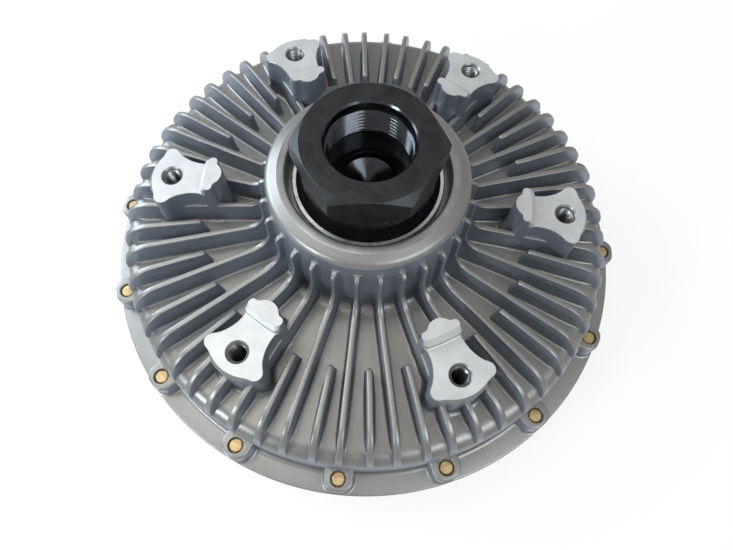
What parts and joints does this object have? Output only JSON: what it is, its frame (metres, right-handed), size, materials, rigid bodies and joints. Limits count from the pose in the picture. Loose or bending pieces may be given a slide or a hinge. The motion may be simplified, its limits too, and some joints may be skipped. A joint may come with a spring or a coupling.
{
  "type": "viscous fan clutch",
  "caption": "Viscous fan clutch: a finned aluminium drum on a threaded hex input shaft, with bosses that carry the fan and a bimetal valve in front.",
  "frame": {"origin": "centre of the fan bolt circle, in the plane of the machined pads that the fan sits on", "axes": "+Z along the shaft towards the hex input nut, +X through one fan boss, so the radiator side is at -Z"},
  "size_m": [0.2536, 0.2536, 0.1185],
  "materials": {
    "cast_rear": "as-cast aluminium, machined on the pads, pilot lobes and hub ring",
    "cast_front": "as-cast aluminium, machined on the joint face and guard ring",
    "gold_zinc": "yellow passivated zinc plate",
    "seal_rubber": "matte black",
    "spring_steel": "dark oiled spring steel",
    "bearing_steel": "ground",
    "ball_steel": "polished",
    "cage_brass": "pressed and drilled",
    "dark_steel": "dark phosphated steel, glossy where it was turned",
    "rotor_aluminium": "turned",
    "plate_steel": "bright zinc plate",
    "bronze": "plain bearing bronze",
    "shaft_steel": "ground steel",
    "bimetal": "rolled bimetal strip, one side warmer in colour"
  },
  "bodies": {
    "housing": {"rear_housing": "cast_rear", "front_cover": "cast_front", "rim_screws": "gold_zinc", "housing_o_ring": "seal_rubber", "hub_retaining_ring": "spring_steel", "bearing_outer_race": "bearing_steel", "bearing_seals": "seal_rubber", "reservoir_plate": "plate_steel", "plate_screws": "gold_zinc", "pump_wiper": "bronze", "passage_plug": "plate_steel", "fill_plug": "plate_steel", "valve_bush": "bronze", "valve_o_ring": "seal_rubber", "bimetal_coil": "bimetal", "coil_anchor_post": "shaft_steel"},
    "input": {"input_shaft": "dark_steel", "bearing_inner_race": "bearing_steel", "rotor": "rotor_aluminium", "rotor_retaining_ring": "spring_steel"},
    "ball_cage": {"bearing_balls": "ball_steel", "bearing_cages": "cage_brass"},
    "valve": {"valve_shaft": "shaft_steel", "valve_arm": "plate_steel", "valve_retaining_ring": "spring_steel"}
  },
  "joints": [
    {"name": "input_spin", "type": "hinge", "parent": "housing", "child": "input", "pos_m": [0, 0, 0], "axis": [0, 0, 1], "continuous": true},
    {"name": "cage_spin", "type": "hinge", "parent": "housing", "child": "ball_cage", "pos_m": [0, 0, 0], "axis": [0, 0, 1], "continuous": true},
    {"name": "valve_turn", "type": "hinge", "parent": "housing", "child": "valve", "pos_m": [0, 0, 0], "axis": [0, 0, 1], "range_deg": [0, 25], "stiffness_Nm_per_rad": 0.03, "deforming": ["bimetal_coil"]}
  ],
  "couplings": [
    {"joint": "cage_spin", "follows": "input_spin", "ratio": 0.4022}
  ]
}
